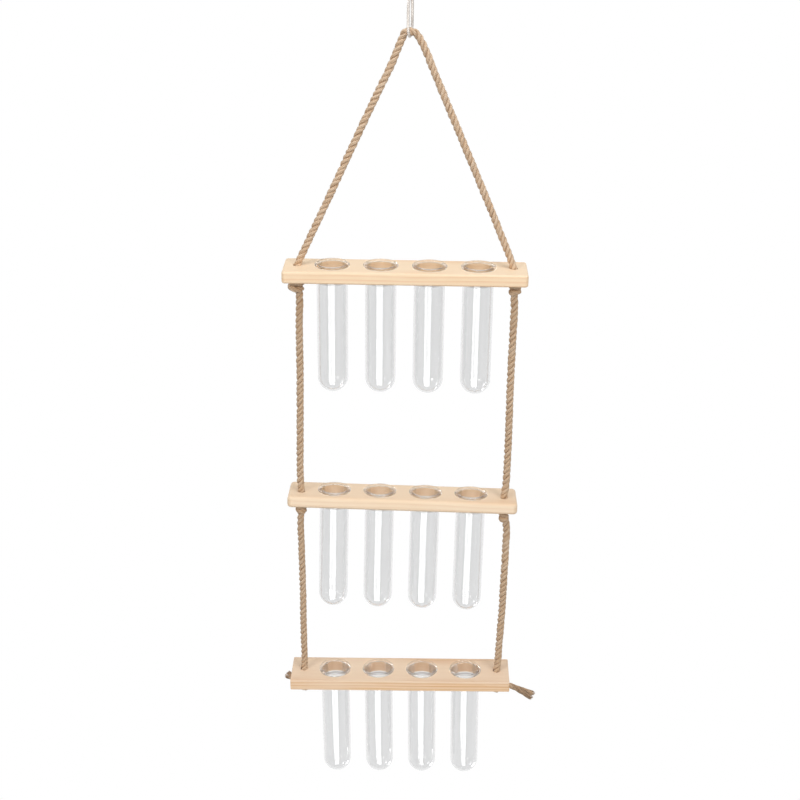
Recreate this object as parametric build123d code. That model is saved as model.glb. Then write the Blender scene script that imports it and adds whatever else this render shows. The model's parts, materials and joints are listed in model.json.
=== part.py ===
from build123d import *
from dataclasses import dataclass
from math import acos, atan2, cos, hypot, radians, sin
import os

os.makedirs("parts", exist_ok=True)

# A wall-hanging propagation vase. Three pine boards hang one below the other on one jute
# rope, which goes over a steel S-hook, down through a hole near each end of every board, and
# is knotted under each board. Every board holds four glass test tubes by their lips.
# Lengths are in millimetres and angles in degrees.
# The origin is where the top of the hook rests on its peg. +Z is up, +X runs to the right
# along the boards, and +Y points to the wall.

# Rope
rope_diameter = 6.4
rope_hole_clearance = 0.8  # all round, between the rope and its hole in a board
pivot_gap = 0.3  # left free where the rope bends or turns on something
rope_radius = rope_diameter / 2
pivot_ball_radius = rope_radius + pivot_gap

# S-hook
hook_wire = 2.8
hook_lower_radius = 13.5  # of the wire's centreline in the lower crook
hook_upper_radius = 7.5  # and in the upper one
hook_leg = 12.0  # the straight part of each of the lower crook's two legs
hook_crook_angle = 142.0  # how far each crook goes past its lowest or highest point
hook_turn = 7.5  # how far the hook is turned from facing the viewer edge on
hook_wire_radius = hook_wire / 2
half_turn = 180.0
quarter_turn = half_turn / 2
eighth_turn = half_turn / 4

# Boards
board_length = 250.0
board_depth = 48.0
board_thickness = 13.0
rope_hole_inset = 14.0  # from the board's end to the centre of the rope's hole
upper_edge_radius = 2.4
upper_corner_radius = 3.4
middle_edge_radius = 3.6
middle_corner_radius = 4.6
lower_edge_radius = 0.9
lower_corner_radius = 1.2
middle_hole_forward = 6.0  # the middle board's rope holes lie in front of its tubes,
middle_tilt = -4.5  # so its front edge hangs raised by this
middle_roll = 0.8
lower_roll = -0.8
rope_hole_radius = rope_radius + rope_hole_clearance
rope_hole_x = board_length / 2 - rope_hole_inset

# Test tubes
tubes_per_board = 4
tube_spacing = 50.0
tube_outside = 32.0
tube_wall = 1.5
tube_reach = 138.0  # from the underside of the lip to the round bottom
tube_clearance = 0.5  # all round, between the tube and its hole in the board
lip_height = 3.0
lip_overhang = 2.2  # how far the lip stands out past the tube
lip_inner_bulge = 0.6  # how far the lip narrows the mouth, all round
lip_seat_width = 1.1  # flat ring under the lip that rests on the board
lip_neck_depth = 2.5  # where the mouth has widened to the bore
lip_widest_share = 0.46  # height of the lip's widest ring
lip_crown_share = 0.55  # the crown's place between the mouth and the lip's outside
tube_radius = tube_outside / 2
bore_radius = tube_radius - tube_wall
lip_radius = tube_radius + lip_overhang
mouth_radius = bore_radius - lip_inner_bulge

# Knots, each an overhand knot drawn up against the board's underside
knot_height = 13.5
knot_wrap_radius = 5.0  # of the centreline of the large wrap
knot_wrap_lean = 28.0
knot_wrap_shift = 1.2  # the large wrap bulges this far towards the board's end
knot_collar_radius = 4.4  # of the centreline of the small wrap below it
knot_collar_lean = 12.0
knot_strand_share = 0.92  # thickness of the drawn-up rope
knot_wrap_depth_share = 0.38
knot_collar_depth_share = 0.75
knot_strand_radius = rope_radius * knot_strand_share
knot_wrap_depth = knot_height * knot_wrap_depth_share
knot_collar_depth = knot_height * knot_collar_depth_share

# Rope lengths between the boards
sling_height = 236.0  # from the rope's bend over the hook to the upper board's top
upper_drop = 234.0  # from the upper board's knots to the middle board's top
lower_drop = 198.5  # from the middle board's knots to the lower board's top

# Loose ends under the lower board: points from the middle of the knot, and the end's width
# there in shares of the rope's diameter. The right end has come apart into a brush.
left_tail_route = [(-9.6, 2.9, 0.1), (-15.2, 5.6, 0.4), (-20.8, 9.4, 0.9)]
left_tail_shares = [1.0, 1.06, 1.28]
right_tail_route = [(10.0, 0.0, -0.8), (17.5, 0.2, -2.4), (30.5, 0.8, -8.6), (42.5, 1.2, -15.2)]
right_tail_shares = [1.0, 0.81, 1.5, 2.1]

rope_bend_radius = hook_wire_radius + rope_radius + pivot_gap
hook_height = 2 * (hook_lower_radius + hook_upper_radius) + hook_leg
hook_bottom = Vector(0, 0, hook_wire_radius - hook_height)
rope_bend_top = hook_bottom + Vector(0, 0, rope_bend_radius)


@dataclass
class Tier:
    """One board with its tubes and knots, and how it hangs."""

    name: str
    edge_radius: float  # of the board's long edges
    corner_radius: float  # of its four upright corners
    tilt: float  # about the board's length; below zero, the front edge is raised
    roll: float  # about the depth; above zero, the right end is lower
    hole_forward: float  # how far the rope's holes lie in front of the tubes
    hangs: float  # from what it hangs on to the top of its rope holes


upper = Tier(
    name="upper",
    edge_radius=upper_edge_radius,
    corner_radius=upper_corner_radius,
    tilt=0,
    roll=0,
    hole_forward=0,
    hangs=sling_height,
)
middle = Tier(
    name="middle",
    edge_radius=middle_edge_radius,
    corner_radius=middle_corner_radius,
    tilt=middle_tilt,
    roll=middle_roll,
    hole_forward=middle_hole_forward,
    hangs=upper_drop,
)
lower = Tier(
    name="lower",
    edge_radius=lower_edge_radius,
    corner_radius=lower_corner_radius,
    tilt=0,
    roll=lower_roll,
    hole_forward=0,
    hangs=lower_drop,
)


def hang(tiers):
    """Each tier's own place: on top of its board, in the middle of the row of tubes."""
    frames = {}
    hung_from = rope_bend_top
    for tier in tiers:
        mouths = hung_from - Vector(0, 0, tier.hangs)
        turned = Location(mouths) * Rot(0, tier.roll, 0) * Rot(tier.tilt, 0, 0)
        frame = turned * Pos(0, tier.hole_forward, 0)
        frames[tier.name] = frame
        knots = rope_points(frame, tier, -(board_thickness + knot_height))
        hung_from = (knots[0] + knots[1]) / 2
    return frames


def point_in(frame, x, y, z):
    """A point given in a tier's own frame, in the frame of the whole part."""
    return (frame * Pos(x, y, z)).position


def rope_points(frame, tier, z):
    """The two points, left and right, on the lines of a board's rope holes."""
    return [point_in(frame, side * rope_hole_x, -tier.hole_forward, z) for side in (-1, 1)]


def hook():
    """The S-hook: two crooks of one wire, the lower one long, with rounded ends."""
    up = (0, 1)
    front = JernArc((0, 0), (-1, 0), hook_lower_radius, -quarter_turn)
    front_leg = PolarLine(front @ 1, hook_leg, direction=up)
    front_end = JernArc(front_leg @ 1, up, hook_lower_radius, quarter_turn - hook_crook_angle)
    back = JernArc((0, 0), (1, 0), hook_lower_radius, quarter_turn)
    back_leg = PolarLine(back @ 1, hook_leg, direction=up)
    waist = JernArc(back_leg @ 1, up, hook_lower_radius, quarter_turn)
    upper = JernArc(waist @ 1, waist % 1, hook_upper_radius, -(half_turn + hook_crook_angle))
    facing = radians(hook_turn)
    plane = Plane(
        origin=hook_bottom,
        x_dir=(sin(facing), cos(facing), 0),
        z_dir=(cos(facing), -sin(facing), 0),
    )
    bends = (front_end, front_leg, front, back, back_leg, waist, upper)
    path = Wire([plane * bend for bend in bends])
    section = Plane(origin=path @ 0, z_dir=path % 0) * Circle(hook_wire_radius)
    wire = sweep(section, path=path)
    for end in (path @ 0, path @ 1):
        wire += Pos(end) * Sphere(hook_wire_radius)
    return wire


def straight_rope(start, end, balls):
    """A tight stretch of rope, with a round end at each point in balls."""
    run = end - start
    section = Plane(origin=start, z_dir=run) * Circle(rope_radius)
    rope = extrude(section, amount=run.length)
    for point in balls:
        rope += Pos(point) * Sphere(rope_radius)
    return rope


def tangent_point(centre, radius, outside, side):
    """Where a straight run from the point outside meets the circle in the XZ plane."""
    across = outside.X - centre.X
    up = outside.Z - centre.Z
    angle = atan2(up, across) + side * acos(radius / hypot(across, up))
    return centre + Vector(radius * cos(angle), 0, radius * sin(angle))


def sling(mouths):
    """The rope over the hook, from one hole of the upper board to the other."""
    left, right = mouths
    left_touch = tangent_point(hook_bottom, rope_bend_radius, left, -1)
    right_touch = tangent_point(hook_bottom, rope_bend_radius, right, 1)
    path = Wire(
        [
            Line(left, left_touch),
            ThreePointArc(left_touch, rope_bend_top, right_touch),
            Line(right_touch, right),
        ]
    )
    section = Plane(origin=path @ 0, z_dir=path % 0) * Circle(rope_radius)
    rope = sweep(section, path=path)
    print("sling length", round(path.length, 1), "mm, tightest bend", rope_bend_radius, "mm")
    print("sling volume over section x length", round(rope.volume / (section.area * path.length), 4))
    for mouth in mouths:
        rope += Pos(mouth) * Sphere(rope_radius)
    return rope


def board(tier):
    """A pine board with rounded edges, four holes for tubes and two for the rope."""
    slab = Box(
        board_length,
        board_depth,
        board_thickness,
        align=(Align.CENTER, Align.CENTER, Align.MAX),
    )
    slab = fillet(slab.edges().filter_by(Axis.Z), tier.corner_radius)
    faces = slab.faces().sort_by(Axis.Z)
    slab = fillet(faces[0].edges() + faces[-1].edges(), tier.edge_radius)
    for x in tube_places():
        slab -= Pos(x, 0, 0) * Cylinder(tube_radius + tube_clearance, 2 * board_thickness)
    for side in (-1, 1):
        place = Pos(side * rope_hole_x, -tier.hole_forward, 0)
        slab -= place * Cylinder(rope_hole_radius, 2 * board_thickness)
    return slab


def tube_places():
    """The tubes' places along a board, from left to right."""
    middle = (tubes_per_board - 1) / 2
    return [(n - middle) * tube_spacing for n in range(tubes_per_board)]


def tube():
    """A round-bottomed glass tube with a thick rolled lip, its lip's seat at z = 0."""
    centre_z = tube_radius - tube_reach
    widest_z = lip_height * lip_widest_share
    crown = (mouth_radius + (lip_radius - mouth_radius) * lip_crown_share, lip_height)
    slant = cos(radians(eighth_turn))
    outer_bottom = ThreePointArc(
        (0, -tube_reach),
        (tube_radius * slant, centre_z - tube_radius * slant),
        (tube_radius, centre_z),
    )
    outer_wall = Line((tube_radius, centre_z), (tube_radius, 0))
    seat = Line((tube_radius, 0), (tube_radius + lip_seat_width, 0))
    lip_side = TangentArc(crown, (lip_radius, widest_z), tangent=(1, 0))
    lip_under = TangentArc(lip_side @ 1, seat @ 1, tangent=lip_side % 1)
    lip_mouth = TangentArc(crown, (mouth_radius, widest_z), tangent=(-1, 0))
    neck = TangentArc(lip_mouth @ 1, (bore_radius, -lip_neck_depth), tangent=lip_mouth % 1)
    inner_wall = Line((bore_radius, -lip_neck_depth), (bore_radius, centre_z))
    inner_bottom = ThreePointArc(
        (bore_radius, centre_z),
        (bore_radius * slant, centre_z - bore_radius * slant),
        (0, centre_z - bore_radius),
    )
    axis = Line((0, centre_z - bore_radius), (0, -tube_reach))
    outline = [
        outer_bottom,
        outer_wall,
        seat,
        lip_under,
        lip_side,
        lip_mouth,
        neck,
        inner_wall,
        inner_bottom,
        axis,
    ]
    face = make_face([edge for line in outline for edge in line.edges()])
    return revolve(Plane.XZ * face, axis=Axis.Z)


def knot(side, exit_point=None):
    """The rope inside one hole of a board and its knot, with the hole's mouth at z = 0.

    With exit_point, the loose end leaves the knot there. Without it, the knot has a hollow
    under it, where the next stretch of rope turns.
    """
    underside = -board_thickness
    bottom = underside - knot_height
    wrap = Pos(side * knot_wrap_shift, 0, underside - knot_wrap_depth)
    wrap *= Rot(0, side * knot_wrap_lean, 0)
    collar = Pos(0, 0, underside - knot_collar_depth) * Rot(knot_collar_lean, 0, 0)
    body = wrap * Torus(knot_wrap_radius, knot_strand_radius)
    body += collar * Torus(knot_collar_radius, knot_strand_radius)
    core = Cylinder(
        rope_radius, knot_height, align=(Align.CENTER, Align.CENTER, Align.MAX)
    )
    body += Pos(0, 0, underside) * core
    middle = knot_middle()
    if exit_point:
        body += straight_rope(middle, middle + Vector(*exit_point), [])
    else:
        body -= Pos(0, 0, bottom) * Sphere(pivot_ball_radius)
    above = Box(
        4 * knot_height,
        4 * knot_height,
        4 * knot_height,
        align=(Align.CENTER, Align.CENTER, Align.MIN),
    )
    body -= Pos(0, 0, underside) * above
    in_hole = Cylinder(
        rope_radius,
        board_thickness - pivot_ball_radius,
        align=(Align.CENTER, Align.CENTER, Align.MIN),
    )
    return body + Pos(0, 0, underside) * in_hole


def knot_middle():
    """The middle of a knot's large wrap, from the mouth of its hole."""
    return Vector(0, 0, -board_thickness - knot_wrap_depth)


def tail(route, shares):
    """A loose end along its route from the middle of the knot, as wide as the shares say."""
    points = [knot_middle() + Vector(*point) for point in route]
    before = [knot_middle()] + points[:-1]
    after = points[:1] + points[2:] + points[-1:]
    rings = [
        Plane(origin=here, z_dir=following - previous) * Circle(share * rope_radius)
        for previous, here, following, share in zip(before, points, after, shares)
    ]
    return loft([ring.face() for ring in rings], ruled=True)


tails = {"left": (left_tail_route, left_tail_shares), "right": (right_tail_route, right_tail_shares)}
sides = {"left": -1, "right": 1}
tiers = [upper, middle, lower]
frames = hang(tiers)
nodes = {"s_hook": hook(), "rope_sling": sling(rope_points(frames["upper"], upper, 0))}

for above, tier in zip(tiers, tiers[1:]):
    tops = rope_points(frames[above.name], above, -(board_thickness + knot_height))
    mouths = rope_points(frames[tier.name], tier, 0)
    for side_name, top, mouth in zip(sides, tops, mouths):
        nodes[f"{tier.name}_{side_name}_rope"] = straight_rope(top, mouth, [top, mouth])

for tier in tiers:
    frame = frames[tier.name]
    nodes[f"{tier.name}_board"] = frame * board(tier)
    for number, x in enumerate(tube_places(), start=1):
        nodes[f"{tier.name}_tube_{number}"] = frame * Pos(x, 0, 0) * tube()
    for side_name, side in sides.items():
        mouth_place = frame * Pos(side * rope_hole_x, -tier.hole_forward, 0)
        exit_point = None
        if tier is lower:
            route, shares = tails[side_name]
            exit_point = route[0]
            nodes[f"{side_name}_rope_end"] = mouth_place * tail(route, shares)
        nodes[f"{tier.name}_{side_name}_knot"] = mouth_place * knot(side, exit_point)

for name, shape in nodes.items():
    export_step(shape, f"parts/{name}.step")
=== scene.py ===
"""Looks of a wall-hanging propagation vase: pine boards on a jute rope, with glass tubes.

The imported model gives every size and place. This script dresses it: boards with sanded
edges and pine grain, lathed glass tubes, a bent steel hook, and three-strand jute rope
with real overhand knots and one end that has come apart.
"""

import json
import logging
import math
import random
from dataclasses import dataclass, field
from enum import Enum
from typing import Callable

import bpy
import numpy as np
from mathutils import Matrix, Vector

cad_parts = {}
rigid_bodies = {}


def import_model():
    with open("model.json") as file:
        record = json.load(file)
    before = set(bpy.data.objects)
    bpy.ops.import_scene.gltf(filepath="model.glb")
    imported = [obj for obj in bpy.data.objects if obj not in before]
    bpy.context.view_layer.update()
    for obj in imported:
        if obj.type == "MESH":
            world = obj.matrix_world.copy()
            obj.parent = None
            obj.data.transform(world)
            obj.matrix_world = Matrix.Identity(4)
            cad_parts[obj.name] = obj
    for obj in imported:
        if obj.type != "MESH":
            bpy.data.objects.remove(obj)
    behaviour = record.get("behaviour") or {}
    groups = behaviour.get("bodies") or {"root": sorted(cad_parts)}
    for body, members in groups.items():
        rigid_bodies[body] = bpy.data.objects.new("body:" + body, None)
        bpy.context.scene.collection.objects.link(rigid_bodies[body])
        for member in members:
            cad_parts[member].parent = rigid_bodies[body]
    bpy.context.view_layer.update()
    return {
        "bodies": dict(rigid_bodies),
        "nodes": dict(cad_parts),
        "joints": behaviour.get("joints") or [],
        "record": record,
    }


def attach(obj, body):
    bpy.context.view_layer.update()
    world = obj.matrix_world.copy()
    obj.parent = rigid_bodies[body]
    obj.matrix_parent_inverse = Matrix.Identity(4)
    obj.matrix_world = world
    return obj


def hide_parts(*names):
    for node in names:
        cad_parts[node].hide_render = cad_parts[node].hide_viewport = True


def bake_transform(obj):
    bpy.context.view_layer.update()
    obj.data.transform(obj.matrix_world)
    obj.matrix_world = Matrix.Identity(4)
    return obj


log = logging.getLogger("vase")
MM = 0.001
FULL_TURN = 2 * math.pi
HAIR_REACH = 5.5 * MM  # the furthest that a loose fibre stands from its rope's middle
TOUCH = 0.01 * MM  # two heights or rings that lie closer than this count as one
KNOT_SEED = 100
Number = int | float
Colour = tuple[float, float, float]
Point = tuple[float, float, float]


class Slot(Enum):
    """The record's material slots."""

    PINE = "pine"
    GLASS = "glass"
    JUTE = "jute"
    STEEL = "steel"


class Side(Enum):
    """The two ends of a board, as signs along +X."""

    LEFT = -1
    RIGHT = 1

    @property
    def word(self) -> str:
        """The side as it stands in node names."""
        return self.name.lower()


def linear(code: str) -> Colour:
    """Turns a colour written as a web code into scene-linear values.

    Args:
        code: Six hexadecimal digits, as in "f5ddbb".

    Returns:
        Red, green and blue, each from 0 to 1.
    """
    parts = [int(code[i : i + 2], 16) / 255 for i in (0, 2, 4)]
    return tuple(c / 12.92 if c <= 0.04045 else ((c + 0.055) / 1.055) ** 2.4 for c in parts)


class Wire:
    """One output of a shader node, on which Python's operators add Math nodes."""

    def __init__(self, recipe: "Recipe", socket: bpy.types.NodeSocket) -> None:
        """Keeps the recipe and the socket."""
        self.recipe = recipe
        self.socket = socket

    def math(self, operation: str, *others: "Wire | Number") -> "Wire":
        """Adds a Math node with this output as its first value.

        Args:
            operation: The Math node's operation.
            others: The values or outputs of its other sockets.

        Returns:
            The node's output.
        """
        return self.recipe.maths(operation, self, *others)

    def __add__(self, other: "Wire | Number") -> "Wire":
        """Adds."""
        return self.math("ADD", other)

    def __sub__(self, other: "Wire | Number") -> "Wire":
        """Takes away."""
        return self.math("SUBTRACT", other)

    def __mul__(self, other: "Wire | Number") -> "Wire":
        """Multiplies."""
        return self.math("MULTIPLY", other)

    def __truediv__(self, other: "Wire | Number") -> "Wire":
        """Divides."""
        return self.math("DIVIDE", other)


class Recipe:
    """The node tree of one finish, filled from Python."""

    def __init__(self, tree: bpy.types.NodeTree) -> None:
        """Empties the tree."""
        self.tree = tree
        tree.nodes.clear()

    def node(
        self, kind: str, settings: dict | None = None, inputs: dict | None = None
    ) -> bpy.types.Node:
        """Adds a node.

        Args:
            kind: The node's type.
            settings: The node's own settings, set first. "stops" fills a colour ramp.
            inputs: Values or outputs for its sockets, by name or number.

        Returns:
            The new node.
        """
        made = self.tree.nodes.new(kind)
        for name, value in (settings or {}).items():
            if name == "stops":
                self._fill_ramp(made.color_ramp, value)
            else:
                setattr(made, name, value)
        for name, value in (inputs or {}).items():
            socket = made.inputs[name]
            if isinstance(value, Wire):
                self.tree.links.new(value.socket, socket)
            elif socket.type == "RGBA":
                socket.default_value = (*value, 1.0)
            else:
                socket.default_value = value
        return made

    @staticmethod
    def _fill_ramp(ramp: bpy.types.ColorRamp, stops: list[tuple[float, Colour]]) -> None:
        """Sets a colour ramp's stops, from left to right."""
        while len(ramp.elements) < len(stops):
            ramp.elements.new(1.0)
        for element, (place, colour) in zip(ramp.elements, stops):
            element.position = place
            element.color = (*colour, 1.0)

    def out(self, made: bpy.types.Node, name: str | int = 0) -> Wire:
        """One output of a node."""
        return Wire(self, made.outputs[name])

    def maths(self, operation: str, *values: "Wire | Number") -> Wire:
        """A Math node of the given operation."""
        made = self.node("ShaderNodeMath", {"operation": operation}, dict(enumerate(values)))
        return self.out(made)

    def place(self) -> Wire:
        """The point's place in its object."""
        return self.out(self.node("ShaderNodeTexCoord"), "Object")

    def attribute(self, name: str) -> Wire:
        """A value that the mesh carries under a name."""
        return self.out(self.node("ShaderNodeAttribute", {"attribute_name": name}), "Fac")

    def join(self, x: "Wire | Number", y: "Wire | Number", z: "Wire | Number") -> Wire:
        """A vector of three values."""
        return self.out(self.node("ShaderNodeCombineXYZ", None, {0: x, 1: y, 2: z}))

    def split(self, vector: Wire) -> list[Wire]:
        """The three values of a vector."""
        made = self.node("ShaderNodeSeparateXYZ", None, {0: vector})
        return [self.out(made, i) for i in range(3)]

    def mix(self, share: "Wire | Number", a: "Wire | Colour", b: "Wire | Colour") -> Wire:
        """A colour between a, at share 0, and b, at share 1."""
        made = self.node("ShaderNodeMix", {"data_type": "RGBA"}, {0: share, 6: a, 7: b})
        return self.out(made, 2)

    def noise(self, vector: Wire, scale: float, detail: float = 2.0, rough: float = 0.5) -> Wire:
        """Smooth noise from 0 to 1."""
        inputs = {"Vector": vector, "Scale": scale, "Detail": detail, "Roughness": rough}
        return self.out(self.node("ShaderNodeTexNoise", None, inputs))

    def level(self, value: Wire, low: float, high: float, start: float = 0.0, end: float = 1.0) -> Wire:
        """Stretches low to high over start to end, and holds it there."""
        inputs = {1: low, 2: high, 3: start, 4: end, 0: value}
        return self.out(self.node("ShaderNodeMapRange", None, inputs))

    def ramp(self, value: Wire, stops: list[tuple[float, Colour]]) -> Wire:
        """A colour from a ramp's stops."""
        return self.out(self.node("ShaderNodeValToRGB", {"stops": stops}, {0: value}))

    def bump(self, height: Wire, depth: float, strength: float) -> Wire:
        """A normal from heights, where 1 stands as high as depth."""
        inputs = {"Height": height, "Distance": depth, "Strength": strength}
        return self.out(self.node("ShaderNodeBump", None, inputs))

    def surface(self, **sockets: "Wire | Number | Colour") -> None:
        """Ends the tree with the standard surface shader.

        Args:
            sockets: The shader's sockets, with "_" for each space in a name.
        """
        inputs = {name.replace("_", " "): value for name, value in sockets.items()}
        self.end(self.node("ShaderNodeBsdfPrincipled", None, inputs))

    def end(self, shader: bpy.types.Node) -> None:
        """Ends the tree with a shader."""
        self.node("ShaderNodeOutputMaterial", None, {"Surface": self.out(shader)})


def material(name: str) -> tuple[bpy.types.Material, Recipe]:
    """A new material and the recipe of its nodes."""
    made = bpy.data.materials.new(name)
    made.use_nodes = True
    return made, Recipe(made.node_tree)


@dataclass(frozen=True)
class PineFinish:
    """Sanded, unvarnished pine, with its growth rings as curved shells through the board."""

    name: str
    early: Colour
    below_top: Colour  # the early wood's colour on the faces below the top: its edges, front, back and underside
    late: Colour
    ring_spacing: float
    pith_depth: float  # how far the tree's middle lies below the board
    pith_back: float  # and how far behind the board's middle line
    run_out: float  # how fast the tree's middle leaves the board along its length
    contrast: float
    seed: float
    phase: float = 50.2  # where in a year's ring the board's top begins

    def make(self, place: Matrix) -> bpy.types.Material:
        """Makes the material for a board.

        Args:
            place: The board's place, so that the grain runs along it.

        Returns:
            The material.
        """
        made, r = material(self.name)
        back = place.inverted()
        coordinates = r.place()
        turned = back.to_euler()
        local = r.out(
            r.node(
                "ShaderNodeMapping",
                None,
                {"Vector": coordinates, "Location": back.translation, "Rotation": turned},
            )
        )
        x, y, z = r.split(local)
        sway = r.noise(r.join(x * 7.0 + self.seed, y * 16.0, z * 16.0), 1.0, 2.0) - 0.5
        across = y - self.pith_back + x * self.run_out
        below = z + self.pith_depth + sway * (4.6 * MM)
        distance = (across * across + below * below).math("SQRT")
        wander = r.noise(r.join(x * 3.0, y * 26.0 + self.seed, z * 26.0), 1.0, 1.0)
        begun = self.phase - self.pith_depth / self.ring_spacing
        rings = distance / self.ring_spacing + (wander - 0.5) * 0.3 + begun
        phase = rings.math("FRACT")
        year = r.node("ShaderNodeTexWhiteNoise", {"noise_dimensions": "1D"}, {"W": rings.math("FLOOR")})
        stops = [(0.0, 0.0), (0.08, 0.05), (0.45, 0.18), (0.84, 0.95), (0.93, 1.0), (1.0, 0.1)]
        band = r.ramp(phase, [(at, (v, v, v)) for at, v in stops])
        darkness = band * r.level(r.out(year, "Value"), 0.0, 1.0, 0.35, 1.0) * self.contrast
        fibre = r.noise(r.join(x * 34.0, y * 1500.0, z * 1500.0), 1.0, 3.0, 0.62)
        streak = r.noise(r.join(x * 9.0, y * 210.0 + self.seed, z * 210.0), 1.0, 3.0, 0.6)
        patch = r.noise(r.join(x * 11.0, y * 22.0, z * 22.0 + self.seed), 1.0, 2.0)
        # The top face keeps the early colour; from 0.4 to 2.6 mm below it the wood turns to the
        # below-top colour.
        deep = r.level(z, -0.4 * MM, -2.6 * MM)
        wood = r.mix(darkness, r.mix(deep, self.early, self.below_top), self.late)
        pale = tuple(min(1.0, c * 1.05) for c in self.early)
        wood = r.mix(r.level(streak, 0.42, 0.72, 0.0, 0.45), wood, pale)
        wood = r.mix(r.level(fibre, 0.52, 0.78, 0.0, 0.22), wood, self.late)
        warm = tuple(c * k for c, k in zip(self.early, (0.985, 0.93, 0.86)))
        wood = r.mix(r.level(patch, 0.45, 0.8, 0.0, 0.6), wood, warm)
        # Drilled walls: darker for their open end grain, and also painted shade for the little light
        # inside the holes.
        bored = r.attribute("bored")
        drilled = tuple(c * k for c, k in zip(self.early, (0.8, 0.72, 0.64)))
        wood = r.mix(bored * 0.7, wood, drilled)
        height = fibre * 0.7 + darkness * 0.5 + streak * 0.3
        r.surface(
            Base_Color=wood,
            Roughness=r.level(fibre, 0.3, 0.8, 0.52, 0.68),
            Normal=r.bump(height, 0.12 * MM, 0.5),
            Specular_IOR_Level=0.35,
        )
        return made


@dataclass(frozen=True)
class JuteFinish:
    """Jute yarn: matt golden fibres, with painted shade in the grooves between the strands and yarns.
    """

    name: str = "jute"
    # The groove colour is painted shade: the colour the shadowed grooves between the strands take.
    groove_shade: Colour = linear("b8946f")
    dark: Colour = linear("c8a581")
    light: Colour = linear("e3c9ac")
    straw: Colour = linear("f0dfc9")
    tan: Colour = linear("b98f66")

    @classmethod
    def shaded_jute(cls) -> "JuteFinish":
        """The lower ropes and the knots: a darker, browner copy of the sling's jute, which paints the
        shade these parts show.
        """
        shades = ("b18c69", "c1a07b", "dbc0a2", "e7d6c0", "b2885d")
        return cls("jute_handled", *map(linear, shades))

    def make(self) -> bpy.types.Material:
        """Makes the material. Its fibres follow the rope's own map."""
        made, r = material(self.name)
        along, around, _ = r.split(r.out(r.node("ShaderNodeUVMap", {"uv_map": "lay"})))
        depth = r.attribute("crest")
        tone = r.attribute("tone")
        spiral = around * 26.0 + along * 900.0
        fibre = r.noise(r.join(along * 230.0, spiral, tone * 9.0), 1.0, 4.0, 0.65)
        yarn = (around * (5 * FULL_TURN) + along * (FULL_TURN / (9 * MM))).math("SINE")
        blotch = r.noise(r.join(along * 55.0, around * 2.0, tone * 5.0), 1.0, 2.0)
        body = r.mix(r.level(fibre, 0.3, 0.7), self.dark, self.light)
        body = r.mix(r.level(blotch, 0.4, 0.75, 0.0, 0.5), body, self.straw)
        fleck = r.noise(r.join(along * 620.0, spiral * 2.0, tone * 3.0), 1.0, 2.0, 0.6)
        body = r.mix(r.level(fleck, 0.52, 0.72, 0.0, 0.75), body, self.tan)
        # Painted shade: low crests between the strands and the troughs between yarns take the darker
        # groove colour.
        shade = r.level(depth, 0.1, 0.75) * r.level(yarn, -1.0, 0.4, 0.72, 1.0)
        r.surface(
            Base_Color=r.mix(shade, self.groove_shade, body),
            Roughness=r.level(fibre, 0.3, 0.7, 0.95, 0.78),
            Normal=r.bump(fibre * 0.7 + yarn * 0.25, 0.3 * MM, 0.7),
            Specular_IOR_Level=0.25,
            Sheen_Weight=0.15,
            Sheen_Roughness=0.5,
        )
        return made


@dataclass(frozen=True)
class GlassFinish:
    """Clear drawn tube glass, faintly grey where the eye looks through it, with painted shade on its
    neck just under the board.
    """

    name: str
    tint: Colour
    neck_shade: Colour  # painted shade: darker glass just under the lip, standing in for the board's shade on the tube
    opacity: float = 1.0
    ior: float = 1.47

    def make(self) -> bpy.types.Material:
        """Makes the material. The neck is painted darker than the drawn wall, as shade from the board
        above.
        """
        made, r = material(self.name)
        x, y, z = r.split(r.place())
        # The neck mark says where the painted shade under the board lies.
        neck = r.attribute("neck")
        drawn = r.noise(r.join(x * 260.0, y * 260.0, z * 7.0), 1.0, 2.0)
        haze = r.noise(r.join(x * 300.0, y * 300.0, z * 90.0), 1.0, 3.0)
        dark = tuple(c * 0.975 for c in self.tint)
        wall = r.mix(r.level(drawn, 0.4, 0.6), self.tint, dark)
        r.surface(
            Base_Color=r.mix(neck, wall, self.neck_shade),
            Alpha=self.opacity,
            Roughness=r.level(haze, 0.6, 0.95, 0.0, 0.02),
            Transmission_Weight=1.0,
            IOR=self.ior,
        )
        return made


# Each finish's second colour is painted neck shade; on the lip glass it covers the lip and the glass
# inside the hole.
WALL_GLASS = GlassFinish("tube_glass", (0.86, 0.861, 0.863), (0.42, 0.39, 0.365))
LIP_GLASS = GlassFinish("lip_glass", (0.88, 0.86, 0.82), (0.85, 0.81, 0.76), 0.5, 1.4)


@dataclass(frozen=True)
class SteelFinish:
    """Satin plated steel wire, with the faint drag lines of bending."""

    name: str = "plated_steel"
    bright: Colour = (0.56, 0.52, 0.48)
    dull: Colour = (0.46, 0.42, 0.385)

    def make(self) -> bpy.types.Material:
        """Makes the material."""
        made, r = material(self.name)
        place = r.place()
        worn = r.noise(place, 160.0, 2.0, 0.5)
        fine = r.noise(place, 700.0, 2.0)
        r.surface(
            Base_Color=r.mix(r.level(worn, 0.42, 0.78), self.bright, self.dull),
            Metallic=0.75,
            Roughness=r.level(worn, 0.3, 0.8, 0.55, 0.65),
            Normal=r.bump(fine, 0.002 * MM, 0.1),
        )
        return made


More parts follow.
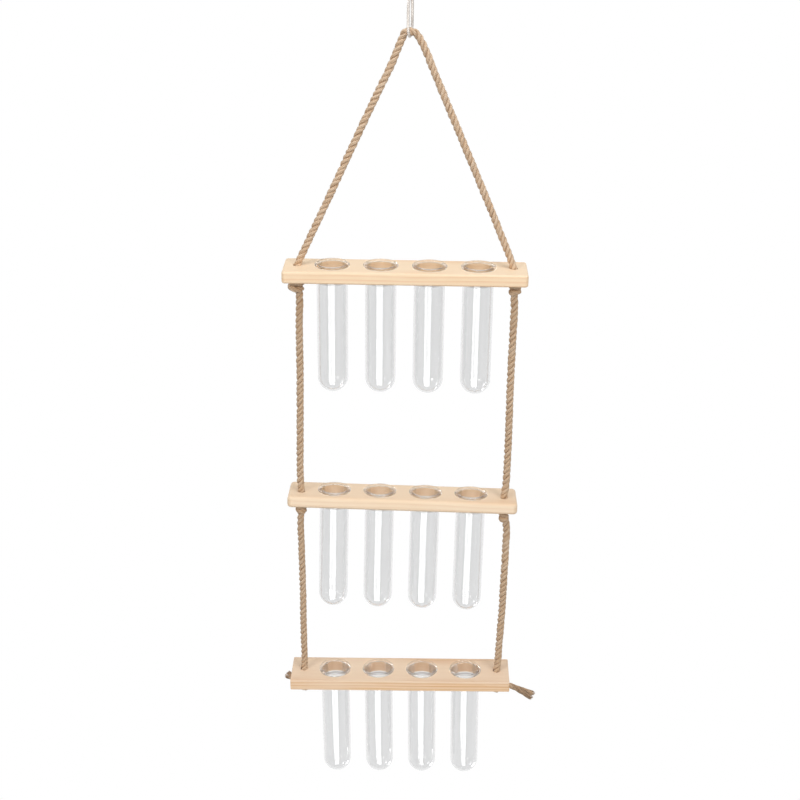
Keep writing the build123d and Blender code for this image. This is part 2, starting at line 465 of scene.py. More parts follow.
class Bench:
    """Modelling with operators, on one object at a time."""

    @staticmethod
    def clear() -> None:
        """Deselects everything in object mode."""
        if bpy.context.mode != "OBJECT":
            bpy.ops.object.mode_set(mode="OBJECT")
        bpy.ops.object.select_all(action="DESELECT")

    @staticmethod
    def take(obj: bpy.types.Object) -> bpy.types.Object:
        """Selects one object alone and makes it the active one."""
        Bench.clear()
        obj.select_set(True)
        bpy.context.view_layer.objects.active = obj
        return obj

    @staticmethod
    def added(name: str) -> bpy.types.Object:
        """Names the primitive that was just added."""
        obj = bpy.context.object
        obj.name = name
        obj.data.name = name
        return obj

    @staticmethod
    def pick_edges(obj: bpy.types.Object, wanted: Callable[[Vector, Vector], bool]) -> None:
        """Selects the edges that a test wants, and enters edit mode.

        Args:
            obj: The object.
            wanted: Takes an edge's two ends and says whether it is selected.
        """
        Bench.take(obj)
        bpy.ops.object.mode_set(mode="EDIT")
        bpy.ops.mesh.select_mode(type="EDGE")
        bpy.ops.mesh.select_all(action="DESELECT")
        bpy.ops.object.mode_set(mode="OBJECT")
        points = obj.data.vertices
        for edge in obj.data.edges:
            edge.select = wanted(*(points[i].co for i in edge.vertices))
        bpy.ops.object.mode_set(mode="EDIT")

    @staticmethod
    def extrude(move: Vector | Point) -> None:
        """Extrudes what is selected, and moves the new part."""
        bpy.ops.mesh.extrude_region_move(TRANSFORM_OT_translate={"value": move})

    @staticmethod
    def smooth(obj: bpy.types.Object, angle: float) -> None:
        """Shades an object smooth, apart from edges sharper than angle in degrees."""
        Bench.take(obj)
        bpy.ops.object.shade_smooth_by_angle(angle=math.radians(angle))

    @staticmethod
    def even_shading(obj: bpy.types.Object) -> None:
        """Keeps large flat faces evenly shaded beside their rounded edges."""
        Bench.take(obj)
        even = obj.modifiers.new("even", "WEIGHTED_NORMAL")
        even.keep_sharp = True
        bpy.ops.object.modifier_apply(modifier=even.name)

    @staticmethod
    def face_out(obj: bpy.types.Object) -> None:
        """Merges doubles and turns all faces outwards."""
        Bench.take(obj)
        bpy.ops.object.mode_set(mode="EDIT")
        bpy.ops.mesh.select_all(action="SELECT")
        bpy.ops.mesh.remove_doubles(threshold=0.001 * MM)
        bpy.ops.mesh.normals_make_consistent(inside=False)
        bpy.ops.object.mode_set(mode="OBJECT")

    @staticmethod
    def place(obj: bpy.types.Object, matrix: Matrix) -> None:
        """Moves an object's mesh to its place, and leaves the object at the origin."""
        obj.data.transform(matrix @ obj.matrix_world)
        obj.matrix_world = Matrix.Identity(4)

    @staticmethod
    def copy(obj: bpy.types.Object, name: str) -> bpy.types.Object:
        """A copy with its own mesh."""
        twin = obj.copy()
        twin.data = obj.data.copy()
        twin.name = name
        twin.data.name = name
        bpy.context.scene.collection.objects.link(twin)
        return twin


def mark(mesh: bpy.types.Mesh, name: str, domain: str, values: list[float] | np.ndarray) -> None:
    """Gives a mesh one value for each of its points or faces, for a material to read."""
    mesh.attributes.new(name, "FLOAT", domain).data.foreach_set("value", values)


def dress(obj: bpy.types.Object, finish: bpy.types.Material | None, slot: Slot, node: str) -> None:
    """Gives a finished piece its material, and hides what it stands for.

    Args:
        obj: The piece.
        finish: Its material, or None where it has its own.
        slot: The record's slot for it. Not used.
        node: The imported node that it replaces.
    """
    if finish:
        obj.data.materials.clear()
        obj.data.materials.append(finish)
    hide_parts(node)
    log.info("%s stands for %s, %d faces", obj.name, node, len(obj.data.polygons))


def settle(
    obj: bpy.types.Object, finish: bpy.types.Material | None, slot: Slot, body: str, node: str
) -> None:
    """Dresses a finished piece and lets it ride on a body."""
    dress(obj, finish, slot, node)
    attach(obj, body)


@dataclass
class Places:
    """Where the boards hang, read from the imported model's joints."""

    joints: dict[str, dict]

    @classmethod
    def read(cls, frame: dict) -> "Places":
        """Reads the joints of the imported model."""
        return cls({joint["name"]: joint for joint in frame["joints"]})

    def tier(self, name: str, hole_forward: float) -> Matrix:
        """A tier's own place: on top of its board, in the middle of its row of tubes.

        Args:
            name: The tier's name.
            hole_forward: How far the rope holes lie in front of the tubes.

        Returns:
            The matrix from the tier's frame to the row frame.
        """
        tilt = self.joints[f"{name}_board_tilt"]
        x = Vector(tilt["axis"]).normalized()
        z = Vector(self.joints[f"{name}_tube_1_lift"]["axis"]).normalized()
        y = z.cross(x)
        turn = Matrix((x, y, z)).transposed().to_4x4()
        origin = Vector(tilt["pos_m"]) + y * hole_forward
        return Matrix.Translation(origin) @ turn


@dataclass
class Hook:
    """The S-hook, bent from one steel wire."""

    wire: float = 2.8 * MM
    lower: float = 13.5 * MM  # radius of the lower crook
    upper: float = 7.5 * MM  # and of the upper one
    leg: float = 12.0 * MM  # straight part of each of the lower crook's legs
    past: float = 142.0  # how far each crook is bent beyond its middle, in degrees
    turn: float = 7.5  # the hook's turn about the upright line, in degrees
    aside: float = 1.9 * MM  # how far right of its mount the photograph has it
    sides: int = 24
    ring_turn: float = 5.0  # the bend from one ring to the next, in degrees
    end_rings: int = 6

    @property
    def bottom(self) -> Vector:
        """The lowest point of the wire's middle line."""
        return Vector((self.aside, 0, self.wire / 2 - 2 * (self.lower + self.upper) - self.leg))

    @property
    def normal(self) -> Vector:
        """The axis that both crooks are bent about."""
        facing = math.radians(self.turn)
        return Vector((math.cos(facing), -math.sin(facing), 0))

    def build(self, finish: bpy.types.Material) -> None:
        """Bends the wire with spins and rounds its two ends."""
        across = Vector((0, 0, 1)).cross(self.normal)
        Bench.clear()
        bpy.ops.mesh.primitive_circle_add(
            vertices=self.sides,
            radius=self.wire / 2,
            location=self.bottom,
            rotation=across.to_track_quat("Z", "Y").to_euler(),
        )
        hook = Bench.added("hook_wire")
        Bench.place(hook, Matrix.Identity(4))
        Bench.take(hook)
        bpy.ops.object.mode_set(mode="EDIT")
        bpy.ops.mesh.select_all(action="SELECT")
        quarter = self._bend(self.bottom, self.bottom, self.lower, 90.0)
        waist = self._bend(*self._rise(quarter), self.lower, 90.0)
        end = self._bend(waist, waist, self.upper, -(180.0 + self.past))
        self._round_end(end, waist + Vector((0, 0, self.upper)))
        bpy.ops.object.mode_set(mode="OBJECT")
        near = self.wire / 2 + TOUCH
        Bench.pick_edges(hook, lambda a, b: all(self._at_bottom(p, across, near) for p in (a, b)))
        quarter = self._bend(self.bottom, self.bottom, self.lower, -90.0)
        leg_end, lowest = self._rise(quarter)
        end = self._bend(leg_end, lowest, self.lower, 90.0 - self.past)
        self._round_end(end, lowest + Vector((0, 0, self.lower)))
        bpy.ops.object.mode_set(mode="OBJECT")
        Bench.face_out(hook)
        Bench.smooth(hook, 60.0)
        settle(hook, finish, Slot.STEEL, "hook", "s_hook")

    def _at_bottom(self, point: Vector, across: Vector, near: float) -> bool:
        """Whether a point lies on the ring that the wire started from."""
        away = point - self.bottom
        return away.length < near and abs(away.dot(across)) < TOUCH

    def _rise(self, begun: Vector) -> tuple[Vector, Vector]:
        """Extrudes the selected ring up a leg.

        Args:
            begun: The ring's middle.

        Returns:
            Where the ring's middle has come, and the lowest point of the crook that
            would begin there.
        """
        up = Vector((0, 0, self.leg))
        Bench.extrude(up)
        return begun + up, self.bottom + up

    def _bend(self, begun: Vector, lowest: Vector, rise: float, angle: float) -> Vector:
        """Spins the selected ring about a crook's centre.

        Args:
            begun: The ring's middle.
            lowest: The crook's lowest point.
            rise: How far above it the crook's centre lies.
            angle: How far the ring turns, in degrees.

        Returns:
            Where the ring's middle has come.
        """
        centre = lowest + Vector((0, 0, rise))
        steps = round(abs(angle) / self.ring_turn)
        bpy.ops.mesh.spin(steps=steps, angle=-math.radians(angle), center=centre, axis=self.normal)
        return centre + Matrix.Rotation(math.radians(angle), 3, self.normal) @ (begun - centre)

    def _round_end(self, end: Vector, centre: Vector) -> None:
        """Rounds the selected open end.

        Args:
            end: The open ring's middle.
            centre: The centre of the crook that ends here.
        """
        ahead = (end - centre).cross(self.normal).normalized()
        quarter = math.pi / 2
        for step in range(1, self.end_rings + 1):
            before, now = quarter * (step - 1) / self.end_rings, quarter * step / self.end_rings
            rise = (math.sin(now) - math.sin(before)) * self.wire / 2
            Bench.extrude(ahead * rise)
            if step < self.end_rings:
                shrink = math.cos(now) / math.cos(before)
                middle = end + ahead * (math.sin(now) * self.wire / 2)
                bpy.ops.transform.resize(value=(shrink, shrink, shrink), center_override=middle)
        bpy.ops.mesh.merge(type="CENTER")


@dataclass
class Board:
    """One pine board, sawn, sanded and drilled."""

    tier: str
    edge: float  # the rounding along its edges
    corner: float  # and of its upright corners
    hole_forward: float  # how far the rope holes lie in front of the tubes
    length: float = 250 * MM
    depth: float = 48 * MM
    thickness: float = 13 * MM
    tube_hole: float = 16.5 * MM
    rope_hole: float = 4.0 * MM
    rope_hole_inset: float = 14 * MM
    tube_spacing: float = 50 * MM
    tubes: int = 4
    rim: float = 0.35 * MM  # what is taken off each hole's rims
    tube_hole_sides: int = 96
    rope_hole_sides: int = 40

    @property
    def rope_hole_x(self) -> float:
        """How far each rope hole lies from the board's middle."""
        return self.length / 2 - self.rope_hole_inset

    def tube_places(self) -> list[float]:
        """The tubes' places along the board, from left to right."""
        return [(n - (self.tubes - 1) / 2) * self.tube_spacing for n in range(self.tubes)]

    def holes(self) -> list[tuple[Vector, float]]:
        """Each hole's middle on the top face, and its radius."""
        found = [(Vector((x, 0, 0)), self.tube_hole) for x in self.tube_places()]
        for side in Side:
            middle = Vector((side.value * self.rope_hole_x, -self.hole_forward, 0))
            found.append((middle, self.rope_hole))
        return found

    def build(self, place: Matrix, finish: bpy.types.Material) -> None:
        """Makes the board at its place.

        Args:
            place: The tier's own place.
            finish: The board's material.
        """
        board = self._slab()
        self._drill(board)
        self._ease_rims(board)
        self._mark_bore_grain_and_shade(board)
        Bench.smooth(board, 40.0)
        Bench.even_shading(board)
        Bench.place(board, place)
        settle(board, finish, Slot.PINE, f"{self.tier}_tier", f"{self.tier}_board")

    def _slab(self) -> bpy.types.Object:
        """The sawn slab, with rounded corners and sanded edges."""
        Bench.clear()
        bpy.ops.mesh.primitive_cube_add(size=1, location=(0, 0, -self.thickness / 2))
        board = Bench.added(f"{self.tier}_shelf")
        board.scale = (self.length, self.depth, self.thickness)
        bpy.context.view_layer.update()
        Bench.place(board, Matrix.Identity(4))
        upright = self.thickness / 2
        Bench.pick_edges(board, lambda a, b: abs(a.z - b.z) > upright)
        bpy.ops.mesh.bevel(offset=self.corner, segments=8, affect="EDGES")
        Bench.pick_edges(board, lambda a, b: abs(a.z - b.z) < TOUCH)
        bpy.ops.mesh.bevel(offset=self.edge, segments=6, affect="EDGES")
        bpy.ops.object.mode_set(mode="OBJECT")
        return board

    def _drill(self, board: bpy.types.Object) -> None:
        """Cuts the holes for the tubes and the rope."""
        for middle, radius in self.holes():
            Bench.clear()
            bpy.ops.mesh.primitive_cylinder_add(
                vertices=self.tube_hole_sides if radius > self.rope_hole else self.rope_hole_sides,
                radius=radius,
                depth=3 * self.thickness,
                location=middle - Vector((0, 0, self.thickness / 2)),
            )
            drill = Bench.added("drill")
            Bench.take(board)
            cut = board.modifiers.new("cut", "BOOLEAN")
            cut.operation = "DIFFERENCE"
            cut.solver = "EXACT"
            cut.object = drill
            bpy.ops.object.modifier_apply(modifier=cut.name)
            bpy.data.meshes.remove(drill.data)

    def _ease_rims(self, board: bpy.types.Object) -> None:
        """Takes the sharpness off each hole's two rims."""
        holes = self.holes()

        def on_rim(a: Vector, b: Vector) -> bool:
            """Whether an edge lies on a hole's rim."""
            if abs(a.z - b.z) > TOUCH:
                return False
            for middle, radius in holes:
                if all(abs((p - middle).to_2d().length - radius) < 2 * TOUCH for p in (a, b)):
                    return True
            return False

        Bench.pick_edges(board, on_rim)
        bpy.ops.mesh.bevel(offset=self.rim, segments=2, affect="EDGES")
        bpy.ops.object.mode_set(mode="OBJECT")

    def _mark_bore_grain_and_shade(self, board: bpy.types.Object) -> None:
        """Marks the drilled walls, which are painted darker: partly for their open grain, partly as
        shade for the dim inside of each hole.
        """
        holes = self.holes()

        def in_hole(face: bpy.types.MeshPolygon) -> bool:
            """Whether a face lies within a hole's rims."""
            return any(
                (face.center - middle).to_2d().length < radius + self.rim for middle, radius in holes
            )

        walls = [float(abs(face.normal.z) < 0.5 and in_hole(face)) for face in board.data.polygons]
        mark(board.data, "bored", "FACE", walls)


@dataclass
class Tube:
    """One glass test tube with a rolled lip, lathed with its lip's seat at z = 0."""

    outside: float = 16.0 * MM
    wall: float = 1.5 * MM
    reach: float = 138.0 * MM
    lip: float = 18.2 * MM
    lip_height: float = 3.0 * MM
    lip_seat: float = 1.1 * MM
    lip_widest_share: float = 0.46
    crown_share: float = 0.55
    mouth: float = 13.9 * MM
    neck: float = 2.5 * MM  # how far down the throat has narrowed to the bore
    hidden: float = 13.2 * MM  # how much of the tube is inside the board
    neck_shade_end: float = 17.6 * MM  # how far down the neck's painted shade reaches
    neck_shade_fade: float = 2.4 * MM  # and over what length it fades
    sides: int = 96
    foot_steps: int = 14

    def outline(self) -> list[tuple[float, float]]:
        """The tube's stations, from the outside of its foot over the lip to the inside.

        Returns:
            A radius and a height for each ring, the first and last at the axis.
        """
        middle = self.outside - self.reach
        bore = self.outside - self.wall
        widest = self.lip_height * self.lip_widest_share
        crown = self.mouth + (self.lip - self.mouth) * self.crown_share
        foot = [math.radians(90 - 90 * n / self.foot_steps) for n in range(self.foot_steps + 1)]
        outer = [(self.outside * math.cos(a), middle - self.outside * math.sin(a)) for a in foot]
        inner = [(bore * math.cos(a), middle - bore * math.sin(a)) for a in reversed(foot)]
        under = self._quarter((self.outside + self.lip_seat, 0.0), (self.lip, widest), False)
        over = self._quarter((self.lip, widest), (crown, self.lip_height), True)
        into = self._quarter((crown, self.lip_height), (self.mouth, widest), False)
        throat = self._ease((self.mouth, widest), (bore, -self.neck))
        depths = (self.hidden, self.neck_shade_end - self.neck_shade_fade / 2, self.neck_shade_end)
        outer += [(self.outside, -depth) for depth in reversed(depths)]
        throat += [(bore, -depth) for depth in depths]
        return [*outer, (self.outside, 0.0), *under, *over[1:], *into[1:], *throat[1:], *inner]

    @staticmethod
    def _quarter(start: tuple, end: tuple, upright: bool) -> list[tuple[float, float]]:
        """A quarter of an ellipse, upright at its start or at its end."""
        steps = 7
        made = []
        for n in range(steps + 1):
            a = math.pi / 2 * n / steps
            quick, slow = math.sin(a), 1 - math.cos(a)
            radius_share, height_share = (slow, quick) if upright else (quick, slow)
            radius = start[0] + (end[0] - start[0]) * radius_share
            made.append((radius, start[1] + (end[1] - start[1]) * height_share))
        return made

    @staticmethod
    def _ease(start: tuple, end: tuple) -> list[tuple[float, float]]:
        """A gentle S from an upright start to an upright end."""
        steps = 8
        made = []
        for n in range(steps + 1):
            t = n / steps
            share = t * t * (3 - 2 * t)
            made.append((start[0] + (end[0] - start[0]) * share, start[1] + (end[1] - start[1]) * t))
        return made

    def turn(self, name: str) -> bpy.types.Object:
        """Turns one tube ring by ring, starting at the outside of its foot."""
        stations = self.outline()
        pole, first = stations[0], stations[1]
        Bench.clear()
        bpy.ops.mesh.primitive_circle_add(
            vertices=self.sides, radius=first[0], location=(0, 0, first[1])
        )
        tube = Bench.added(name)
        Bench.place(tube, Matrix.Identity(4))
        self._close(tube, first, pole)
        Bench.pick_edges(tube, lambda a, b: self._on_ring(a, b, first))
        for before, now in zip(stations[1:-1], stations[2:-1]):
            Bench.extrude((0, 0, now[1] - before[1]))
            grow = now[0] / before[0]
            bpy.ops.transform.resize(value=(grow, grow, 1), center_override=(0, 0, now[1]))
        Bench.extrude((0, 0, stations[-1][1] - stations[-2][1]))
        bpy.ops.mesh.merge(type="CENTER")
        bpy.ops.object.mode_set(mode="OBJECT")
        Bench.face_out(tube)
        Bench.smooth(tube, 60.0)
        # The neck mark: where the glass takes its painted shade, fading out below the board.
        shares = [(point.co.z + self.neck_shade_end) / self.neck_shade_fade for point in tube.data.vertices]
        mark(tube.data, "neck", "POINT", [min(1.0, max(0.0, share)) for share in shares])
        for finish in (WALL_GLASS, LIP_GLASS):
            tube.data.materials.append(finish.make())
        for face in tube.data.polygons:
            face.material_index = int(face.center.z > -self.hidden)
        tube.visible_shadow = False
        tube.visible_diffuse = False
        return tube

    @staticmethod
    def _on_ring(a: Vector, b: Vector, ring: tuple[float, float]) -> bool:
        """Whether an edge lies on a station's ring."""
        radius, height = ring
        return all(abs(p.to_2d().length - radius) + abs(p.z - height) < 2 * TOUCH for p in (a, b))

    def _close(self, tube: bpy.types.Object, ring: tuple, pole: tuple) -> None:
        """Closes the foot's small ring at the axis."""
        Bench.pick_edges(tube, lambda a, b: self._on_ring(a, b, ring))
        Bench.extrude((0, 0, pole[1] - ring[1]))
        bpy.ops.mesh.merge(type="CENTER")
        bpy.ops.object.mode_set(mode="OBJECT")


@dataclass(frozen=True)
class Lay:
    """How the rope is laid up from its strands."""

    diameter: float = 6.4 * MM
    pitch: float = 19.2 * MM
    strands: int = 3
    sides: int = 24
    ring_step: float = 0.9 * MM
    strand_share: float = 0.62
    centre_share: float = 0.555
    flatness: float = 1.14
    swell: float = 0.075  # how much a strand's thickness varies
    swell_length: float = 30 * MM
    drift: float = 0.26  # how far a strand leaves its even turn, in radians
    drift_length: float = 38 * MM
    yarns: int = 5
    yarn_pitch: float = 7 * MM
    yarn_relief: float = 0.045
    hair_per_metre: int = 900
    hair_radius: float = 0.045 * MM
    hair_root: float = 0.86  # how far out a hair begins, as a share of the rope's radius
    hair_stand: float = 2.3 * MM


class Wander:
    """A smooth random curve along a length, the same one each time."""

    def __init__(self, rng: random.Random, wavelength: float) -> None:
        """Draws the curve's waves."""
        self.waves = [
            (wavelength * rng.uniform(0.6, 1.7), rng.uniform(0, FULL_TURN), rng.uniform(0.5, 1.0))
            for _ in range(4)
        ]

    def __call__(self, along: np.ndarray) -> np.ndarray:
        """The curve's values, mostly between -1 and 1."""
        turn = FULL_TURN * along
        waves = (size * np.sin(turn / length + phase) for length, phase, size in self.waves)
        return sum(waves) / len(self.waves) ** 0.5


def spline_line(points: list[Vector]) -> np.ndarray:
    """Reads the smooth line of a rope's route.

    Args:
        points: The route's control points.

    Returns:
        The points of the line.
    """
    curve = bpy.data.curves.new("route", "CURVE")
    curve.dimensions = "3D"
    curve.resolution_u = 16
    spline = curve.splines.new("NURBS")
    spline.points.add(len(points) - 1)
    for made, point in zip(spline.points, points):
        made.co = (*point, 1.0)
    spline.order_u = 3
    spline.use_endpoint_u = True
    holder = bpy.data.objects.new("route", curve)
    mesh = bpy.data.meshes.new_from_object(holder)
    line = np.array([v.co for v in mesh.vertices], float)
    bpy.data.meshes.remove(mesh)
    bpy.data.curves.remove(curve)
    return line


@dataclass
class Course:
    """A line with its lengths and a frame that doesn't twist along it."""

    points: np.ndarray
    along: np.ndarray
    ahead: np.ndarray
    right: np.ndarray
    up: np.ndarray

    @classmethod
    def of(cls, line: np.ndarray, step: float) -> "Course":
        """Walks along a line in even steps.

        Args:
            line: The points of the line.
            step: The distance between the course's points.

        Returns:
            The course.
        """
        pieces = np.linalg.norm(np.diff(line, axis=0), axis=1)
        whole = np.concatenate([[0], np.cumsum(pieces)])
        along = np.linspace(0, whole[-1], max(4, round(whole[-1] / step)))
        points = np.stack([np.interp(along, whole, line[:, k]) for k in range(3)], axis=1)
        ahead = np.gradient(points, axis=0)
        ahead /= np.linalg.norm(ahead, axis=1)[:, None]
        right = np.zeros_like(points)
        side = np.cross(ahead[0], (0.0, 1.0, 0.0))
        for i, forward in enumerate(ahead):
            side = side - forward * (side @ forward)
            side /= np.linalg.norm(side)
            right[i] = side
        return cls(points, along, ahead, right, np.cross(ahead, right))

    @property
    def length(self) -> float:
        """The whole length."""
        return float(self.along[-1])

    def cut(self, count: int) -> "Course":
        """The course's first points."""
        kept = (part[:count] for part in (self.points, self.along, self.ahead, self.right, self.up))
        return Course(*kept)

    def at(self, along: float) -> list[float]:
        """The point at a length along the course."""
        return [float(np.interp(along, self.along, self.points[:, k])) for k in range(3)]


class Skein:
    """Tubes gathered into one mesh, each with its map, crest and tone."""

    def __init__(self) -> None:
        """Starts empty."""
        self.points: list[np.ndarray] = []
        self.faces: list[tuple[int, ...]] = []
        self.maps: list[tuple[float, float]] = []
        self.crests: list[np.ndarray] = []
        self.tones: list[np.ndarray] = []
        self.count = 0

    def tube(self, rings: np.ndarray, along: np.ndarray, crest: np.ndarray, tone: float) -> None:
        """Adds a closed tube.

        Args:
            rings: Points by ring and side.
            along: Each ring's length along the tube.
            crest: How far out each point lies, by ring and side, from 0 to 1; where it is low, the jute
                paints shade.
            tone: A value from 0 to 1 that sets the tube's colour apart.
        """
        steps, sides = rings.shape[:2]
        base = self.count
        for i in range(steps - 1):
            for j in range(sides):
                k = (j + 1) % sides
                a, b = base + i * sides, base + (i + 1) * sides
                self.faces.append((a + j, a + k, b + k, b + j))
                v0, v1 = j / sides, (j + 1) / sides
                self.maps += [(along[i], v0), (along[i], v1), (along[i + 1], v1), (along[i + 1], v0)]
        for i, order in ((0, reversed(range(sides))), (steps - 1, range(sides))):
            corners = [base + i * sides + j for j in order]
            self.faces.append(tuple(corners))
            self.maps += [(along[i], (c - base) % sides / sides) for c in corners]
        self.points.append(rings.reshape(-1, 3))
        self.crests.append(np.asarray(crest, float).reshape(-1))
        self.tones.append(np.full(steps * sides, tone))
        self.count += steps * sides

    def mesh(self, name: str) -> bpy.types.Object:
        """Makes the gathered tubes one smooth object."""
        data = bpy.data.meshes.new(name)
        data.from_pydata(np.concatenate(self.points).tolist(), [], self.faces)
        lay = data.uv_layers.new(name="lay")
        lay.data.foreach_set("uv", np.array(self.maps, np.float32).ravel())
        for label, values in (("crest", self.crests), ("tone", self.tones)):
            mark(data, label, "POINT", np.concatenate(values).astype(np.float32))
        data.shade_smooth()
        obj = bpy.data.objects.new(name, data)
        bpy.context.scene.collection.objects.link(obj)
        return obj


@dataclass
class Rope:
    """A stretch of the jute rope along a route of control points."""

    route: list[Vector]
    lay: Lay = field(default_factory=Lay)
    thickness_share: float = 1.0
    seed: int = 1

    def twist(self, skein: Skein) -> Course:
        """Lays the strands along the route and adds the loose hairs.

        Args:
            skein: Where the strands go.

        Returns:
            The course of the rope's middle.
        """
        course = Course.of(spline_line(self.route), self.lay.ring_step)
        self.lay_strands(skein, course)
        return course

    def lay_strands(self, skein: Skein, course: Course) -> None:
        """Lays the strands and loose hairs along a course."""
        rng = random.Random(self.seed)
        start = rng.uniform(0, FULL_TURN)
        for strand in range(self.lay.strands):
            self._strand(skein, course, start + FULL_TURN * strand / self.lay.strands, rng)
        self._hairs(skein, course, start, rng)

    def _strand(self, skein: Skein, course: Course, start: float, rng: random.Random) -> None:
        """Adds one strand with the relief of its yarns."""
        lay = self.lay
        radius = lay.diameter / 2 * self.thickness_share
        swell = 1 + lay.swell * Wander(rng, lay.swell_length)(course.along)
        drift = lay.drift * Wander(rng, lay.drift_length)(course.along)
        turn = start + FULL_TURN * course.along / lay.pitch + drift
        out, tangent = self._turned(course, turn)
        middle = course.points + out * (radius * lay.centre_share)
        around = np.arange(lay.sides) * FULL_TURN / lay.sides
        spiral = lay.yarns * around[None, :] + FULL_TURN * course.along[:, None] / lay.yarn_pitch
        relief = swell[:, None] * (1 + lay.yarn_relief * np.cos(spiral))
        reach = radius * lay.strand_share * relief
        lift = (reach * np.cos(around))[..., None] * out[:, None, :]
        slide = (reach * lay.flatness * np.sin(around))[..., None] * tangent[:, None, :]
        rings = middle[:, None, :] + lift + slide
        crest = np.broadcast_to(0.5 + 0.5 * np.cos(around), (len(course.along), lay.sides))
        skein.tube(rings, course.along, crest, rng.random())

    @staticmethod
    def _turned(course: Course, turn: np.ndarray) -> tuple[np.ndarray, np.ndarray]:
        """The outward and the sideways direction at an angle round the course."""
        cos, sin = np.cos(turn)[:, None], np.sin(turn)[:, None]
        return course.right * cos + course.up * sin, course.up * cos - course.right * sin

    def _hairs(self, skein: Skein, course: Course, start: float, rng: random.Random) -> None:
        """Adds the fine fibres that stand off the rope."""
        lay = self.lay
        radius = lay.diameter / 2 * self.thickness_share
        for _ in range(round(course.length * lay.hair_per_metre)):
            at = rng.uniform(0.03, 0.97) * course.length
            i = int(np.searchsorted(course.along, at))
            i = min(max(i, 1), len(course.along) - 2)
            strand = rng.randrange(lay.strands)
            turn = start + FULL_TURN * (strand / lay.strands + at / lay.pitch) + rng.gauss(0, 0.35)
            out, tangent = self._turned(course, np.full(len(course.along), turn))
            ahead = Vector(course.ahead[i]) * rng.choice((-1, 1))
            hair = Hair(
                root=Vector(course.points[i]) + Vector(out[i]) * radius * lay.hair_root,
                ahead=(ahead + Vector(tangent[i]) * rng.gauss(0.2, 0.35)).normalized(),
                out=Vector(out[i]),
                length=rng.uniform(2.5, 7.5) * MM,
                stand=rng.uniform(0.2, 1.0) ** 1.6 * lay.hair_stand,
                curl=rng.gauss(0, 0.9) * MM,
            )
            hair.add(skein, course, lay.hair_radius * rng.uniform(0.7, 1.4), rng.random())


@dataclass
class Hair:
    """One fine loose fibre."""

    root: Vector
    ahead: Vector
    out: Vector
    length: float
    stand: float
    curl: float

    def add(self, skein: Skein, course: Course, radius: float, tone: float) -> None:
        """Adds the fibre as a thin three-sided tube, unless it would stand too far off its rope."""
        side = self.ahead.cross(self.out).normalized()
        steps = 5
        middle = []
        for n in range(steps + 1):
            t = n / steps
            bend = side * (self.curl * math.sin(2.6 * t) * t)
            straight = self.root + self.ahead * (self.length * t)
            middle.append(straight + self.out * (self.stand * t**1.5) + bend)
        off = [np.linalg.norm(course.points - np.array(p), axis=1).min() for p in middle]
        if max(off) < HAIR_REACH:
            radii = [radius * (1 - 0.75 * n / steps) for n in range(steps + 1)]
            thin_tube(skein, middle, radii, 3, tone, 0.95)


def thin_tube(
    skein: Skein,
    middle: list[Vector],
    radii: list[float],
    sides: int,
    tone: float,
    crest: float,
) -> None:
    """Adds a thin tube along some points.

    Args:
        skein: Where it goes.
        middle: The points that it follows.
        radii: Its radius at each.
        sides: Its number of sides.
        tone: Its tone.
        crest: How far out it lies, from 0 to 1, which sets its share of the jute's painted groove
            shade.
    """
    line = np.array([tuple(p) for p in middle])
    ahead = np.gradient(line, axis=0)
    ahead /= np.maximum(np.linalg.norm(ahead, axis=1), 1e-12)[:, None]
    first = np.cross(ahead[0], (0.31, 0.83, 0.46))
    right = first - ahead * (ahead @ first)[:, None]
    right /= np.linalg.norm(right, axis=1)[:, None]
    up = np.cross(ahead, right)
    around = np.arange(sides) * FULL_TURN / sides
    reach = np.array(radii)[:, None, None]
    cos, sin = np.cos(around)[None, :, None], np.sin(around)[None, :, None]
    rings = line[:, None, :] + reach * (cos * right[:, None, :] + sin * up[:, None, :])
    along = np.concatenate([[0], np.cumsum(np.linalg.norm(np.diff(line, axis=0), axis=1))])
    skein.tube(rings, along, np.full(rings.shape[:2], crest), tone)


@dataclass
class Stretch:
    """A tight stretch of the rope between two pieces of the object."""

    name: str
    node: str
    route: list[Point]  # in millimetres, from one end to the other
    rides: tuple[str, str]  # the body it hangs from, and the board's body it enters
    mouth: float  # the height of the hole's mouth in millimetres, where one body becomes the other
    thickness_share: float
    seed: int

    def build(self, finish: bpy.types.Material) -> None:
        points = [Vector(p) * MM for p in self.route]
        rope = Rope(points, thickness_share=self.thickness_share, seed=self.seed)
        skein = Skein()
        course = rope.twist(skein)
        obj = skein.mesh(self.name)
        dress(obj, finish, Slot.JUTE, self.node)
        tuple(course.points[0])
        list(self.rides)
        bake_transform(obj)
        log.info("%s is %.1f mm long", self.name, course.length / MM)


KNOT_ROUTE = [  # in millimetres, from the middle of the hole's lower mouth, down through the wraps
    (0.0, 0.0, 10.6), (0.0, 0.0, 3.0), (0.3, 0.4, -4.0), (-1.4, 1.0, -9.4), (-4.6, 1.6, -11.2),
    (-4.0, -3.6, -11.2), (0.2, -5.2, -10.7), (4.6, -4.3, -10.1), (6.6, -0.2, -9.3),
    (4.4, 4.2, -8.4), (0.2, 5.3, -7.4), (-3.9, 3.9, -6.2), (-5.5, 0.2, -5.2), (-3.9, -3.9, -4.5),
    (0.4, -5.4, -4.2), (4.9, -4.1, -4.1), (6.5, 0.2, -4.0), (4.2, 3.6, -3.6), (0.6, 2.2, -3.6),
    (0.0, 0.2, -7.0), (0.0, 0.0, -11.0), (0.0, 0.0, -15.2),
]
KNOT_LEAD, KNOT_TAIL = 2, 3  # its points before and after the wraps


